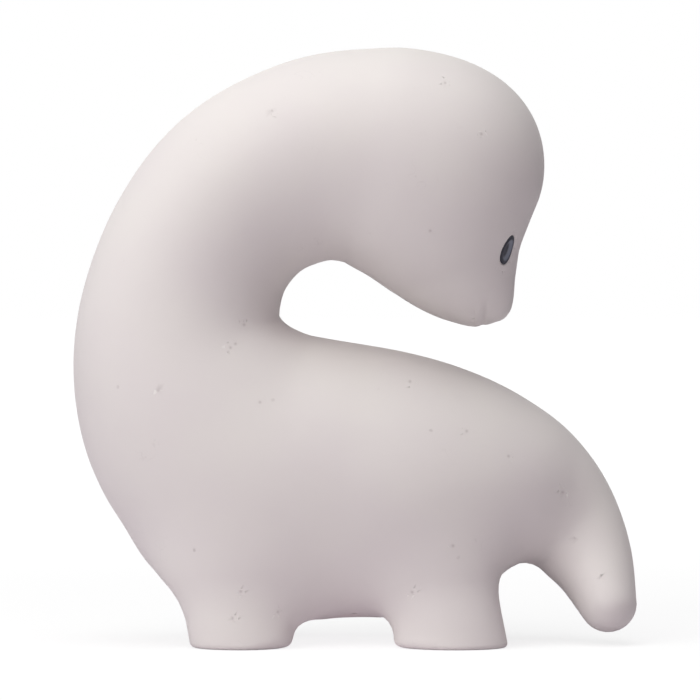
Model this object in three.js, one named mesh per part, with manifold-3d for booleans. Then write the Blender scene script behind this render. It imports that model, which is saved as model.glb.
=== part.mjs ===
// Rubber dinosaur teether. The animal is one hollow rubber moulding on four stub legs, with its
// long neck curled back over the body. A rubber plug closes the belly, the eyes are two domed
// dabs of enamel in moulded sockets, and a sealed rattle capsule with loose beads lies inside.
// Millimetres, +Z up. The chest faces -X, the tail +X, and Y runs across the animal.

import * as THREE from 'three';
import { mergeVertices } from 'three/addons/utils/BufferGeometryUtils.js';
import Module from 'manifold-3d';

// Overall sizes that the animal's forms follow: how tall it stands, how wide its trunk is, and how
// far the end of its tail swings out to its left.
const HEIGHT = 110;
const TRUNK_WIDTH = 46;
const TAIL_SWING = 7.2;

// Stations along the spine, from the tail to the snout. The place of the middle and the radius seen
// from the side are in per cent of the height, the width across in per cent of the trunk's width, and
// the swing in per cent of the tail's.
const SPINE = [
  { part: 'tail tip', x: 42, z: 6.9, radius: 4.8, width: 27, swing: 100 },
  { part: 'tail', x: 39.3, z: 14.2, radius: 7, width: 31.3, swing: 36.1 },
  { part: 'tail root', x: 35.3, z: 20.6, radius: 9, width: 37.4, swing: 5.6 },
  { part: 'haunch', x: 29.4, z: 25, radius: 11.8, width: 52.2, swing: 0 },
  { part: 'rump', x: 21.6, z: 27.3, radius: 15.4, width: 77.4, swing: 0 },
  { part: 'loin', x: 9.1, z: 26.6, radius: 21.2, width: 97.4, swing: 0 },
  { part: 'belly', x: -3.6, z: 27.4, radius: 23.3, width: 100, swing: 0 },
  { part: 'chest', x: -15.5, z: 28.9, radius: 24.1, width: 100, swing: 0 },
  { part: 'shoulder', x: -24.2, z: 36.7, radius: 21.3, width: 93.5, swing: 0 },
  { part: 'neck root', x: -28.9, z: 45.7, radius: 18.6, width: 84.8, swing: 0 },
  { part: 'neck', x: -29.4, z: 55.5, radius: 16.7, width: 78.3, swing: 0 },
  { part: 'upper neck', x: -26, z: 66.4, radius: 15.8, width: 74.8, swing: 0 },
  { part: 'nape', x: -18.4, z: 75.8, radius: 16.2, width: 75.7, swing: 0 },
  { part: 'arch', x: -7.3, z: 81, radius: 17, width: 79.1, swing: 0 },
  { part: 'back of the head', x: 2.7, z: 81.5, radius: 18.2, width: 82.6, swing: 0 },
  { part: 'head', x: 9.6, z: 79.6, radius: 19.4, width: 84.3, swing: 0 },
  { part: 'brow', x: 12.6, z: 75, radius: 16.9, width: 74.8, swing: 0 },
  { part: 'cheeks', x: 14.4, z: 69.8, radius: 13.5, width: 58.3, swing: 0 },
  { part: 'muzzle', x: 17.3, z: 63.7, radius: 10, width: 39.1, swing: 0 },
  { part: 'snout', x: 22, z: 57.6, radius: 4.4, width: 20.9, swing: 0 },
];

// The crown rounds out the forehead, a little above and ahead of the head's middle.
const CROWN_AHEAD = 5.6;
const CROWN_RISE = 0.9;
const CROWN_RADIUS = 18.6;
const CROWN_HALF_WIDTH = 17.6;
const CROWN_BLEND = 3;

// Four stub legs, oval in plan, each leaning in and forward a little towards its top inside the
// belly. They are moulded past the floor line and trimmed there.
const FRONT_LEG_X = -20.3;
const REAR_LEG_X = 17.8;
const LEG_SPREAD = 13.9;
const LEG_SPREAD_TOP = 12.3;
const LEG_LEAN = 2.2;
const LEG_HALF_LENGTH = 9.9;
const LEG_HALF_LENGTH_TOP = 9.9;
const LEG_HALF_WIDTH = 6.9;
const LEG_HALF_WIDTH_TOP = 6.6;
const LEG_HEIGHT = 12;
const FRONT_LEG_FILLET = 8.5;
const REAR_LEG_FILLET = 6.5;
const LEG_OVERRUN = 4;

// The rubber wall. The stub legs fill up in the mould, and so does all that is narrower than this.
const WALL = 3;
const HOLLOW_RADIUS = 9;

// Pieces that meet stand this far apart.
const FIT_GAP = 0.3;

// Belly plug: a stem through the wall, flush outside, and a snap lip inside.
const PLUG_RADIUS = 6;
const PLUG_LIP_OVERHANG = 1.2;
const PLUG_LIP_HEIGHT = 1.4;
const PLUG_LIP_BEVEL = 0.6;

// Mouth: a shallow slit round the underside of the snout.
const MOUTH_WIDTH = 0.8;
const MOUTH_DEPTH = 0.45;
const MOUTH_BACK = 0.4;
const MOUTH_LEAN = THREE.MathUtils.degToRad(8);

// Eyes: long ovals, set round the cheeks from the side towards the face and below their middle, with
// their tops tilted towards the face as seen from the side.
const EYE_LENGTH = 5.6;
const EYE_WIDTH = 3.3;
const EYE_THICKNESS = 1.1;
const EYE_SINK = 0.25;
const EYE_FORWARD = THREE.MathUtils.degToRad(61);
const EYE_DROP = THREE.MathUtils.degToRad(20);
const EYE_TILT = THREE.MathUtils.degToRad(21);

// Rattle capsule: a cup and a cap with domed ends, joined by a spigot, lying along X.
const CAPSULE_RADIUS = 6.75;
const CAPSULE_LENGTH = 24;
const CAPSULE_DOME = 2.2;
const CAPSULE_WALL = 1.7;
const CAPSULE_SPIGOT = 3;

// Loose beads on the floor of the capsule, in two rows.
const BEAD_RADIUS = 1.7;
const BEAD_ROW_SPREAD = 2.1;
const BEAD_SPACE = 0.6;

// How finely the round forms are faceted.
const SPINE_BALLS = 240;
const SKIN_CELL = 3.3;
const CAVITY_CELL = 6;
const SNOUT_CELL = 0.9;
const ROUND_SIDES = 32;
const DOME_STEPS = 4;
const BEAD_SIDES = 12;
const PROJECTION_STEPS = 4;
const MARCH_STEPS = 200;
const MARCH_PACE = 0.7;

// Whatever cuts through a surface reaches this far past it.
const OVERCUT = 5;

const RUBBER = new THREE.MeshStandardMaterial({ color: 0xd9d0cd, roughness: 0.75, metalness: 0 });
const PLUG_RUBBER = new THREE.MeshStandardMaterial({ color: 0xd2c8c3, roughness: 0.7, metalness: 0 });
const ENAMEL = new THREE.MeshStandardMaterial({ color: 0x434a55, roughness: 0.4, metalness: 0 });
const CAPSULE_PLASTIC = new THREE.MeshStandardMaterial({ color: 0xe6e8ea, roughness: 0.35, metalness: 0 });
const BEAD_PLASTIC = new THREE.MeshStandardMaterial({ color: 0xc9a86a, roughness: 0.3, metalness: 0 });

const wasm = await Module();
wasm.setup();

// How far a fillet of the given size fills the corner between two distance fields.
function filletFill(a, b, fillet) {
  const share = Math.max(fillet - Math.abs(a - b), 0) / fillet;
  return (share * share * fillet) / 4;
}

// A station in millimetres.
function stationOf(part) {
  const { x, z, radius, width, swing } = SPINE.find((station) => station.part === part);
  return {
    x: (x / 100) * HEIGHT,
    y: (-swing / 100) * TAIL_SWING,
    z: (z / 100) * HEIGHT,
    radius: (radius / 100) * HEIGHT,
    halfWidth: ((width / 100) * TRUNK_WIDTH) / 2,
  };
}

// The trunk is the envelope of balls whose middles run along the spine.
function ballsAlongSpine() {
  const stations = SPINE.map(({ part }) => stationOf(part));
  const middles = stations.map((s) => new THREE.Vector3(s.x, s.y, s.z));
  const girths = stations.map((s) => new THREE.Vector3(s.radius, s.halfWidth, 0));
  const path = new THREE.CatmullRomCurve3(middles, false, 'catmullrom');
  const girth = new THREE.CatmullRomCurve3(girths, false, 'catmullrom');
  const balls = [];
  for (let i = 0; i <= SPINE_BALLS; i++) {
    const middle = path.getPoint(i / SPINE_BALLS);
    const size = girth.getPoint(i / SPINE_BALLS);
    balls.push({ x: middle.x, y: middle.y, z: middle.z, radius: size.x, narrowing: size.x / size.y });
  }
  return balls;
}

const trunkBalls = ballsAlongSpine();
const hollowBalls = trunkBalls.filter((ball) => ball.radius > HOLLOW_RADIUS);
const head = stationOf('head');
const crownBall = {
  x: head.x + CROWN_AHEAD,
  y: head.y,
  z: head.z + CROWN_RISE,
  radius: CROWN_RADIUS,
  narrowing: CROWN_RADIUS / CROWN_HALF_WIDTH,
};

function ballField(ball, x, y, z) {
  const dx = x - ball.x;
  const dy = (y - ball.y) * ball.narrowing;
  const dz = z - ball.z;
  return Math.sqrt(dx * dx + dy * dy + dz * dz) - ball.radius;
}

function legField(legX, side, x, y, z) {
  const rise = THREE.MathUtils.clamp(z / LEG_HEIGHT, 0, 1);
  const halfLength = THREE.MathUtils.lerp(LEG_HALF_LENGTH, LEG_HALF_LENGTH_TOP, rise);
  const halfWidth = THREE.MathUtils.lerp(LEG_HALF_WIDTH, LEG_HALF_WIDTH_TOP, rise);
  const spread = THREE.MathUtils.lerp(LEG_SPREAD, LEG_SPREAD_TOP, rise);
  const along = (x - legX + LEG_LEAN * rise) / halfLength;
  const across = (y - side * spread) / halfWidth;
  const above = Math.max(z - LEG_HEIGHT, 0) / halfLength;
  const post = Math.sqrt(along * along + across * across + above * above) - 1;
  return Math.max(post * Math.min(halfLength, halfWidth), -z - LEG_OVERRUN);
}

// Distance to the trunk with the crown run into it, negative inside.
function trunkField(balls, x, y, z) {
  let trunk = Infinity;
  for (const ball of balls) {
    trunk = Math.min(trunk, ballField(ball, x, y, z));
  }
  const crown = ballField(crownBall, x, y, z);
  return Math.min(trunk, crown) - filletFill(trunk, crown, CROWN_BLEND);
}

const LEGS = [
  { x: FRONT_LEG_X, fillet: FRONT_LEG_FILLET },
  { x: REAR_LEG_X, fillet: REAR_LEG_FILLET },
];

// The outer skin: the trunk, and four legs that run into it.
function skinField(x, y, z) {
  const trunk = trunkField(trunkBalls, x, y, z);
  let skin = trunk;
  let fill = 0;
  for (const { x: legX, fillet } of LEGS) {
    for (const side of [-1, 1]) {
      const leg = legField(legX, side, x, y, z);
      skin = Math.min(skin, leg);
      fill += filletFill(trunk, leg, fillet);
    }
  }
  return skin - fill;
}

function cavityField(x, y, z) {
  return trunkField(hollowBalls, x, y, z) + WALL;
}

function fieldSlope(field, point) {
  const step = 0.01;
  const { x, y, z } = point;
  return new THREE.Vector3(
    field(x + step, y, z) - field(x - step, y, z),
    field(x, y + step, z) - field(x, y - step, z),
    field(x, y, z + step) - field(x, y, z - step),
  ).divideScalar(2 * step);
}

function dropOntoSurface(field, point) {
  for (let i = 0; i < PROJECTION_STEPS; i++) {
    const slope = fieldSlope(field, point);
    point.addScaledVector(slope, -field(point.x, point.y, point.z) / slope.lengthSq());
  }
  return point;
}

// Walks from an inside point along a direction to where the field changes sign.
function surfaceFrom(field, start, direction) {
  const point = start.clone();
  for (let i = 0; i < MARCH_STEPS; i++) {
    point.addScaledVector(direction, -MARCH_PACE * field(point.x, point.y, point.z));
  }
  return point;
}

// One net vertex in each grid cell that the surface crosses, joined across each crossed grid edge.
function netSurface(field, box, cell) {
  const size = box.getSize(new THREE.Vector3());
  const counts = [size.x, size.y, size.z].map((length) => 2 * Math.ceil(length / cell / 2) + 1);
  const [nx, ny, nz] = counts;
  const centre = box.getCenter(new THREE.Vector3());
  const corner = new THREE.Vector3(nx - 1, ny - 1, nz - 1).multiplyScalar(-cell / 2).add(centre);
  const nodeAt = (i, j, k) => (i * ny + j) * nz + k;
  const values = new Float64Array(nx * ny * nz);
  for (let i = 0; i < nx; i++) {
    for (let j = 0; j < ny; j++) {
      for (let k = 0; k < nz; k++) {
        values[nodeAt(i, j, k)] = field(corner.x + i * cell, corner.y + j * cell, corner.z + k * cell);
      }
    }
  }

  const vertices = [];
  const vertexOfCell = new Int32Array(nx * ny * nz).fill(-1);
  const cellVertex = (i, j, k) => {
    const sum = new THREE.Vector3();
    let crossings = 0;
    const edge = (a, b) => {
      const from = values[nodeAt(i + a[0], j + a[1], k + a[2])];
      const to = values[nodeAt(i + b[0], j + b[1], k + b[2])];
      if (from < 0 === to < 0) return;
      const share = from / (from - to);
      sum.add(new THREE.Vector3(...a).lerp(new THREE.Vector3(...b), share));
      crossings += 1;
    };
    for (const p of [0, 1]) {
      for (const q of [0, 1]) {
        edge([0, p, q], [1, p, q]);
        edge([p, 0, q], [p, 1, q]);
        edge([p, q, 0], [p, q, 1]);
      }
    }
    if (crossings === 0) return;
    const place = sum.divideScalar(crossings).add(new THREE.Vector3(i, j, k));
    vertexOfCell[nodeAt(i, j, k)] = vertices.length;
    vertices.push(dropOntoSurface(field, place.multiplyScalar(cell).add(corner)));
  };
  for (let i = 0; i < nx - 1; i++) {
    for (let j = 0; j < ny - 1; j++) {
      for (let k = 0; k < nz - 1; k++) {
        cellVertex(i, j, k);
      }
    }
  }

  const triangles = [];
  const addQuad = (ring, outward) => {
    const [a, b, c, d] = outward ? ring : [ring[0], ring[3], ring[2], ring[1]];
    const acrossAC = vertices[a].distanceToSquared(vertices[c]);
    const acrossBD = vertices[b].distanceToSquared(vertices[d]);
    if (acrossAC < acrossBD) {
      triangles.push(a, b, c, a, c, d);
    } else {
      triangles.push(a, b, d, b, c, d);
    }
  };
  for (let i = 1; i < nx - 1; i++) {
    for (let j = 1; j < ny - 1; j++) {
      for (let k = 1; k < nz - 1; k++) {
        const here = values[nodeAt(i, j, k)] < 0;
        const cellAt = (di, dj, dk) => vertexOfCell[nodeAt(i - di, j - dj, k - dk)];
        if (here !== values[nodeAt(i + 1, j, k)] < 0) {
          addQuad([cellAt(0, 0, 0), cellAt(0, 1, 0), cellAt(0, 1, 1), cellAt(0, 0, 1)], here);
        }
        if (here !== values[nodeAt(i, j + 1, k)] < 0) {
          addQuad([cellAt(0, 0, 0), cellAt(0, 0, 1), cellAt(1, 0, 1), cellAt(1, 0, 0)], here);
        }
        if (here !== values[nodeAt(i, j, k + 1)] < 0) {
          addQuad([cellAt(0, 0, 0), cellAt(1, 0, 0), cellAt(1, 1, 0), cellAt(0, 1, 0)], here);
        }
      }
    }
  }
  const geometry = new THREE.BufferGeometry().setFromPoints(vertices);
  geometry.setIndex(triangles);
  return geometry;
}

// Solids for joining and cutting, and geometry back from them.
function solidOf(geometry) {
  const bare = geometry.clone();
  bare.deleteAttribute('normal');
  bare.deleteAttribute('uv');
  const merged = mergeVertices(bare);
  const index = merged.index.array;
  const corners = [];
  for (let i = 0; i < index.length; i += 3) {
    const [a, b, c] = [index[i], index[i + 1], index[i + 2]];
    if (a !== b && b !== c && c !== a) corners.push(a, b, c);
  }
  const vertProperties = new Float32Array(merged.attributes.position.array);
  return new wasm.Manifold(new wasm.Mesh({ numProp: 3, vertProperties, triVerts: new Uint32Array(corners) }));
}

function geometryOf(solid) {
  const mesh = solid.getMesh();
  const geometry = new THREE.BufferGeometry();
  geometry.setAttribute('position', new THREE.BufferAttribute(mesh.vertProperties, mesh.numProp));
  geometry.setIndex(new THREE.BufferAttribute(mesh.triVerts, 1));
  return geometry;
}

// A solid of revolution about +Z from a closed profile of [radius, height] points.
function turned(profile) {
  const points = profile.map(([radius, height]) => new THREE.Vector2(radius, height));
  return new THREE.LatheGeometry(points, ROUND_SIDES).rotateX(Math.PI / 2);
}

// The box that holds the whole animal, with room for a grid cell on every side.
function animalBox() {
  const box = new THREE.Box3();
  for (const ball of trunkBalls) {
    const reach = new THREE.Vector3(ball.radius, ball.radius / ball.narrowing, ball.radius);
    const middle = new THREE.Vector3(ball.x, ball.y, ball.z);
    box.expandByPoint(middle.clone().add(reach));
    box.expandByPoint(middle.clone().sub(reach));
  }
  const crownReach = crownBall.radius;
  box.expandByPoint(new THREE.Vector3(crownBall.x + crownReach, 0, crownBall.z + crownReach));
  for (const side of [-1, 1]) {
    const foot = side * (LEG_SPREAD + LEG_HALF_WIDTH);
    box.expandByPoint(new THREE.Vector3(FRONT_LEG_X - LEG_HALF_LENGTH, foot, -LEG_OVERRUN));
    box.expandByPoint(new THREE.Vector3(REAR_LEG_X + LEG_HALF_LENGTH, foot, -LEG_OVERRUN));
  }
  return box.expandByScalar(2 * SKIN_CELL);
}

const skinBox = animalBox();
const skinSolid = solidOf(netSurface(skinField, skinBox, SKIN_CELL));
const cavitySolid = solidOf(netSurface(cavityField, skinBox, CAVITY_CELL));

// Everything below the floor line is trimmed off, which leaves four flat soles.
function floorCut() {
  const size = skinBox.getSize(new THREE.Vector3());
  const depth = LEG_OVERRUN + OVERCUT;
  const slab = new THREE.BoxGeometry(size.x, size.y, depth);
  const centre = skinBox.getCenter(new THREE.Vector3());
  return solidOf(slab.translate(centre.x, centre.y, -depth / 2));
}

// The plug sits in the middle of the belly, between the front and the rear legs.
const plugX = (FRONT_LEG_X + REAR_LEG_X) / 2;
const lipRadius = PLUG_RADIUS + PLUG_LIP_OVERHANG;
const bellyMiddle = new THREE.Vector3(plugX, 0, stationOf('belly').z);

// Height of the cavity floor below the middle of the belly, at a place round the plug.
function cavityFloor(dx, dy) {
  const start = bellyMiddle.clone().add(new THREE.Vector3(dx, dy, 0));
  return surfaceFrom(cavityField, start, new THREE.Vector3(0, 0, -1)).z;
}

function highestFloorUnderLip() {
  let highest = -Infinity;
  for (let i = 0; i < ROUND_SIDES; i++) {
    const turn = (2 * Math.PI * i) / ROUND_SIDES;
    highest = Math.max(highest, cavityFloor(lipRadius * Math.cos(turn), lipRadius * Math.sin(turn)));
  }
  return highest;
}

const lipUnderside = highestFloorUnderLip() + FIT_GAP;
const lipTop = lipUnderside + PLUG_LIP_HEIGHT;

function plugSolid() {
  const profile = [
    [0, -OVERCUT],
    [PLUG_RADIUS, -OVERCUT],
    [PLUG_RADIUS, lipUnderside],
    [lipRadius, lipUnderside],
    [lipRadius, lipTop - PLUG_LIP_BEVEL],
    [lipRadius - PLUG_LIP_BEVEL, lipTop],
    [0, lipTop],
  ];
  return solidOf(turned(profile).translate(plugX, 0, 0)).intersect(skinSolid);
}

function plugBore() {
  const boreRadius = PLUG_RADIUS + FIT_GAP;
  const profile = [
    [0, -OVERCUT],
    [boreRadius, -OVERCUT],
    [boreRadius, lipUnderside],
    [0, lipUnderside],
  ];
  return solidOf(turned(profile).translate(plugX, 0, 0));
}

// The mouth slit leans with the snout and ends beside its middle.
function mouthCut() {
  const snout = stationOf('snout');
  const reach = snout.radius + OVERCUT;
  const snoutBall = (x, y, z) => Math.hypot(x - snout.x, y, z - snout.z) - 2 * reach;
  const inset = (x, y, z) => Math.max(skinField(x, y, z) + MOUTH_DEPTH, snoutBall(x, y, z));
  const middle = new THREE.Vector3(snout.x, 0, snout.z);
  const box = new THREE.Box3(middle.clone(), middle.clone()).expandByScalar(2 * reach + SNOUT_CELL);
  const core = solidOf(netSurface(inset, box, SNOUT_CELL));
  const slit = new THREE.BoxGeometry(MOUTH_WIDTH, 2 * (snout.halfWidth + OVERCUT), reach);
  slit.translate(0, 0, -reach / 2).rotateY(MOUTH_LEAN).translate(snout.x - MOUTH_BACK, 0, snout.z);
  return solidOf(slit).subtract(core);
}

// Where an eye sits on the cheek, with its outward direction; side is -1 or 1 across the animal.
function eyeSeat(side) {
  const cheek = stationOf('cheeks');
  const direction = new THREE.Vector3(
    Math.sin(EYE_FORWARD) * Math.cos(EYE_DROP),
    side * Math.cos(EYE_FORWARD),
    -Math.sin(EYE_FORWARD) * Math.sin(EYE_DROP),
  ).normalize();
  const place = surfaceFrom(skinField, new THREE.Vector3(cheek.x, 0, cheek.z), direction);
  const outward = fieldSlope(skinField, place).normalize();
  const along = new THREE.Vector3(Math.sin(EYE_TILT), 0, Math.cos(EYE_TILT));
  along.setY(-along.dot(outward) / outward.y).normalize();
  const across = new THREE.Vector3().crossVectors(outward, along);
  place.addScaledVector(outward, -EYE_SINK);
  return new THREE.Matrix4().makeBasis(along, across, outward).setPosition(place);
}

// A flat ellipsoid, grown by a margin for the socket that takes it.
function eyeLens(margin) {
  const lens = new THREE.SphereGeometry(1, ROUND_SIDES, 2 * DOME_STEPS).rotateX(Math.PI / 2);
  return lens.scale(EYE_LENGTH / 2 + margin, EYE_WIDTH / 2 + margin, EYE_THICKNESS / 2 + margin);
}

function eyeSocket(side) {
  return solidOf(eyeLens(FIT_GAP).applyMatrix4(eyeSeat(side)));
}

// Half outline of a domed end, from the axis to the rim, as [radius, distance from the joint].
function domedEnd(radius, reach, dome) {
  const points = [];
  for (let i = 0; i <= DOME_STEPS; i++) {
    const turn = (Math.PI / 2) * (i / DOME_STEPS);
    points.push([radius * Math.sin(turn), reach - dome + dome * Math.cos(turn)]);
  }
  return points;
}

const capsuleInside = CAPSULE_RADIUS - CAPSULE_WALL;
const halfCapsule = CAPSULE_LENGTH / 2;
const spigotRadius = CAPSULE_RADIUS - CAPSULE_WALL / 2 - FIT_GAP / 2;
const outerEnd = domedEnd(CAPSULE_RADIUS, halfCapsule, CAPSULE_DOME);
const innerEnd = domedEnd(capsuleInside, halfCapsule - CAPSULE_WALL, CAPSULE_DOME);

// The cup carries the spigot, which reaches past the joint into the cap.
function cupGeometry() {
  const rim = [
    [CAPSULE_RADIUS, FIT_GAP / 2],
    [spigotRadius, FIT_GAP / 2],
    [spigotRadius, -CAPSULE_SPIGOT],
    [capsuleInside, -CAPSULE_SPIGOT],
  ];
  return turned([...outerEnd, ...rim, ...innerEnd.toReversed()].toReversed()).rotateY(Math.PI / 2);
}

function capGeometry() {
  const rim = [
    [CAPSULE_RADIUS, -FIT_GAP / 2],
    [spigotRadius + FIT_GAP, -FIT_GAP / 2],
    [spigotRadius + FIT_GAP, CAPSULE_SPIGOT + FIT_GAP],
    [capsuleInside, CAPSULE_SPIGOT + FIT_GAP],
  ];
  return turned([...outerEnd, ...rim, ...innerEnd.toReversed()].toReversed()).rotateY(-Math.PI / 2);
}

// The capsule settles on the plug's lip, clear of the rubber all round.
function capsuleRestHeight() {
  let height = lipTop + CAPSULE_RADIUS + FIT_GAP;
  const touches = () => {
    for (const [radius, reach] of outerEnd) {
      for (let i = 0; i < ROUND_SIDES; i++) {
        const turn = (2 * Math.PI * i) / ROUND_SIDES;
        const y = radius * Math.sin(turn);
        const z = height + radius * Math.cos(turn);
        if (cavityField(plugX + reach, y, z) > -FIT_GAP) return true;
        if (cavityField(plugX - reach, y, z) > -FIT_GAP) return true;
      }
    }
    return false;
  };
  while (touches()) {
    height += FIT_GAP / 2;
  }
  return height;
}

// Beads lie in two rows on the capsule's round floor.
function beadPlaces() {
  const orbit = capsuleInside - BEAD_RADIUS - FIT_GAP;
  const height = -Math.sqrt(orbit * orbit - BEAD_ROW_SPREAD * BEAD_ROW_SPREAD);
  const straight = CAPSULE_LENGTH - 2 * CAPSULE_WALL - 2 * CAPSULE_DOME;
  const perRow = Math.floor(straight / (2 * BEAD_RADIUS + BEAD_SPACE));
  const places = [];
  for (const side of [-1, 1]) {
    for (let i = 0; i < perRow; i++) {
      const along = ((i + 0.5) / perRow - 0.5) * straight;
      places.push(new THREE.Vector3(along, side * BEAD_ROW_SPREAD, height));
    }
  }
  return places;
}

function piece(name, geometry, material) {
  const mesh = new THREE.Mesh(geometry, material);
  mesh.name = name;
  return mesh;
}

function buildTeether() {
  const teether = new THREE.Group();

  let shell = skinSolid.subtract(cavitySolid).subtract(floorCut());
  shell = shell.subtract(plugBore()).subtract(mouthCut());
  shell = shell.subtract(eyeSocket(-1)).subtract(eyeSocket(1));
  teether.add(piece('body_shell', geometryOf(shell), RUBBER));
  teether.add(piece('belly_plug', geometryOf(plugSolid()), PLUG_RUBBER));

  for (const [name, side] of [['eye_left', -1], ['eye_right', 1]]) {
    const eye = piece(name, eyeLens(0), ENAMEL);
    eye.applyMatrix4(eyeSeat(side));
    teether.add(eye);
  }

  const rattle = new THREE.Group();
  rattle.position.set(plugX, 0, capsuleRestHeight());
  rattle.add(piece('rattle_cup', cupGeometry(), CAPSULE_PLASTIC));
  rattle.add(piece('rattle_cap', capGeometry(), CAPSULE_PLASTIC));
  beadPlaces().forEach((place, i) => {
    const ball = new THREE.SphereGeometry(BEAD_RADIUS, BEAD_SIDES, BEAD_SIDES / 2);
    const bead = piece(`rattle_bead_${i + 1}`, ball, BEAD_PLASTIC);
    bead.position.copy(place);
    rattle.add(bead);
  });
  teether.add(rattle);

  // The origin is on the floor, below the middle of the animal.
  const box = new THREE.Box3().setFromObject(teether);
  const centre = box.getCenter(new THREE.Vector3());
  teether.position.set(-centre.x, -centre.y, -box.min.z);
  return teether;
}

export default buildTeether();
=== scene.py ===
import math

import bmesh
import bpy
import numpy as np
from mathutils import Matrix, Vector


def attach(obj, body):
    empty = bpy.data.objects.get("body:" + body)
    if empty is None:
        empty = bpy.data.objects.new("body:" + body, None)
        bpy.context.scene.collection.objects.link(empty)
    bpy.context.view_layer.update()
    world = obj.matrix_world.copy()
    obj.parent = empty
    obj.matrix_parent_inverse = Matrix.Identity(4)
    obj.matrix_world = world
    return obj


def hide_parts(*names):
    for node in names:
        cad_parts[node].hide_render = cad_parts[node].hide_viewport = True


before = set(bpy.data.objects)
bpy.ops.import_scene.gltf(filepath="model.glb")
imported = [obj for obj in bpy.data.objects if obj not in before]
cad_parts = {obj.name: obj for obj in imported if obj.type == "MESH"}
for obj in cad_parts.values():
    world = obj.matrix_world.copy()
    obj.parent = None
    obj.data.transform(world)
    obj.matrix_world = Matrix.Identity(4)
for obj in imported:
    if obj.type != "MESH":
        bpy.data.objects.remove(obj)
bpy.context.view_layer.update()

mm = 0.001  # forms below are in millimetres, objects in metres


# a socket of a node tree: sums on it add Math nodes
class Wire:
    def __init__(self, finish, socket):
        self.finish = finish
        self.socket = socket

    def maths(self, operation, first, second=None):
        inputs = {0: first} if second is None else {0: first, 1: second}
        return self.finish.node("ShaderNodeMath", dict(operation=operation), inputs)

    def __add__(self, other):
        return self.maths("ADD", self, other)

    def __radd__(self, other):
        return self.maths("ADD", other, self)

    def __sub__(self, other):
        return self.maths("SUBTRACT", self, other)

    def __rsub__(self, other):
        return self.maths("SUBTRACT", other, self)

    def __mul__(self, other):
        return self.maths("MULTIPLY", self, other)

    def __rmul__(self, other):
        return self.maths("MULTIPLY", other, self)

    def __gt__(self, other):
        return self.maths("GREATER_THAN", self, other)

    def size(self):
        return self.maths("ABSOLUTE", self)

    def atMost(self, other):
        return self.maths("MINIMUM", self, other)


# the node tree of a material or of the world
class Finish:
    def __init__(self, owner):
        owner.use_nodes = True
        self.tree = owner.node_tree
        self.tree.nodes.clear()

    def node(self, kind, settings=None, inputs=None, output=0):
        made = self.tree.nodes.new(kind)
        for key, value in (settings or {}).items():
            setattr(made, key, value)
        for key, value in (inputs or {}).items():
            if isinstance(value, Wire):
                self.tree.links.new(value.socket, made.inputs[key])
            else:
                made.inputs[key].default_value = value
        return Wire(self, made.outputs[output]) if len(made.outputs) else None

    def mixColour(self, share, first, second):
        settings = dict(data_type="RGBA", blend_type="MIX")
        inputs = {"Factor": share, "A": first, "B": second}
        return self.node("ShaderNodeMix", settings, inputs, "Result")

    def noise(self, place, scale, detail=2.0):
        inputs = {"Vector": place, "Scale": scale, "Detail": detail}
        return self.node("ShaderNodeTexNoise", None, inputs)

    def fade(self, value, low, high, start=0.0, end=1.0):  # from start to end as the value rises
        settings = dict(interpolation_type="SMOOTHSTEP")
        limits = {"From Min": low, "From Max": high, "To Min": start, "To Max": end}
        return self.node("ShaderNodeMapRange", settings, {"Value": value, **limits})


def newMaterial(name):
    material = bpy.data.materials.new(name)
    return material, Finish(material)


def colour(red, green, blue):  # screen values 0 to 255 as the linear ones that sockets take
    share = np.array([red, green, blue]) / 255
    linear = np.where(share < 0.04045, share / 12.92, ((share + 0.055) / 1.055) ** 2.4)
    return (*linear, 1.0)


def addPiece(name, points, faces, material, body, node, slot, placed=None):
    mesh = bpy.data.meshes.new(name)
    mesh.from_pydata((np.asarray(points) * mm).tolist(), [], [list(map(int, face)) for face in faces])
    mesh.validate()
    mesh.polygons.foreach_set("use_smooth", [True] * len(mesh.polygons))
    mesh.materials.append(material)
    piece = bpy.data.objects.new(name, mesh)
    if placed is not None:
        piece.matrix_world = placed
    bpy.context.scene.collection.objects.link(piece)
    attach(piece, body)
    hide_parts(node)
    return piece


def nodePoints(node):
    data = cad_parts[node].data
    points = np.zeros(len(data.vertices) * 3)
    data.vertices.foreach_get("co", points)
    return points.reshape(-1, 3) / mm


def nodeBox(node):
    points = nodePoints(node)
    return points.min(0), points.max(0)


def smoothStep(low, high, value):
    share = np.clip((value - low) / (high - low), 0, 1)
    return share * share * (3 - 2 * share)


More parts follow.
